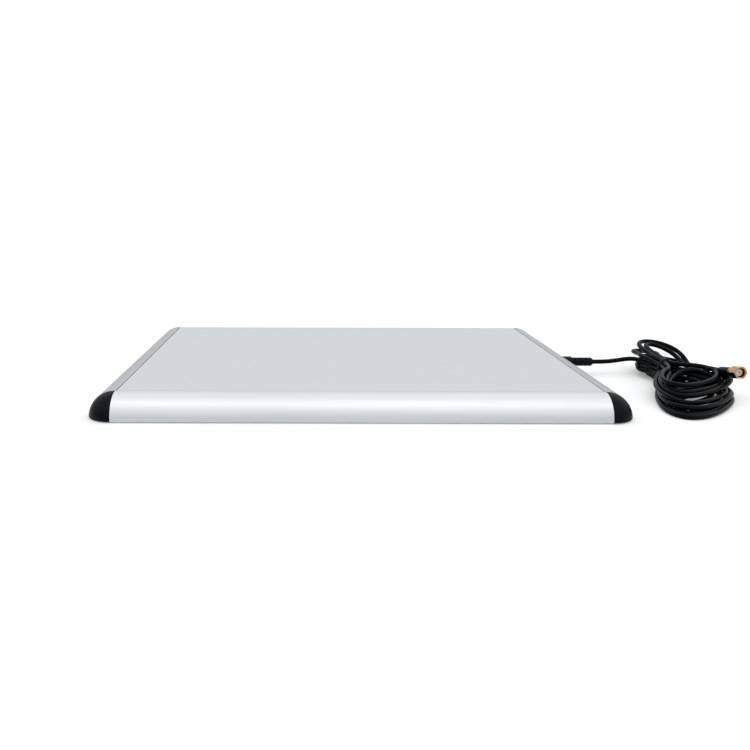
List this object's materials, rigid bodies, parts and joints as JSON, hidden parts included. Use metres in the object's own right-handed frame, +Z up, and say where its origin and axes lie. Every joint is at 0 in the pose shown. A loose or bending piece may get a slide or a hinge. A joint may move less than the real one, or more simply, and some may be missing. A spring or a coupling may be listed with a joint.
{
  "type": "rfid pad antenna",
  "caption": "Flat desktop pad antenna: a framed panel over a shielded loop, with a coaxial lead on a strain relief and a screw-on coaxial plug.",
  "frame": {"origin": "on the table, under the middle of the frame, at the underside of the feet", "axes": "+X along the long side towards the rail that the lead leaves, +Y to the rear, +Z up out of the reading surface"},
  "size_m": [0.4319, 0.2514, 0.0244],
  "materials": {
    "rail": "satin anodised",
    "cap": "fine satin",
    "panel": "matt, very finely textured",
    "base": "matt",
    "screw": "zinc plated",
    "foot": "matt",
    "shield": "rolled",
    "foam": "open foam",
    "circuit_board": "solder mask",
    "copper": "tinned copper",
    "board_part": "moulded",
    "ferrite": "ferrite",
    "relief": "semi-gloss moulding",
    "lead": "semi-gloss jacket",
    "gold": "gold plated",
    "ptfe": "waxy",
    "gasket": "silicone"
  },
  "bodies": {
    "pad": {"top_panel": "panel", "front_rail": "rail", "rear_rail": "rail", "left_rail": "rail", "right_rail": "rail", "corner_cap_front_left": "cap", "corner_cap_front_right": "cap", "corner_cap_rear_left": "cap", "corner_cap_rear_right": "cap", "base_plate": "base", "base_screws": "screw", "foot_front_left": "foot", "foot_front_right": "foot", "foot_rear_left": "foot", "foot_rear_right": "foot", "shield_plate": "shield", "foam_spacer": "foam", "loop_board": "circuit_board", "loop_conductor": "copper", "feed_pins": "copper", "tuning_board": "circuit_board", "board_standoffs": "base", "board_screws": "screw", "clamp_screws": "screw", "trimmer_capacitors": "board_part", "damping_resistors": "board_part", "chip_capacitors": "board_part", "balun_core": "ferrite", "balun_winding": "copper", "strain_relief": "relief", "relief_nut": "relief", "lead_tail": "lead", "cable_clamp": "screw", "cable_lead": "lead", "cable_hank": "lead", "cable_tie": "relief", "cable_end": "lead", "plug_body": "gold", "plug_pin": "gold", "plug_insulator": "ptfe", "plug_gasket": "gasket", "plug_ring": "gold", "plug_ferrule": "gold", "plug_boot": "relief"},
    "plug_nut": {"plug_nut": "gold"}
  },
  "joints": [
    {"name": "plug_nut_turn", "type": "hinge", "parent": "pad", "child": "plug_nut", "pos_m": [0.256, -0.076, 0.0205], "axis": [0, -0.9848, 0.1736], "continuous": true}
  ]
}
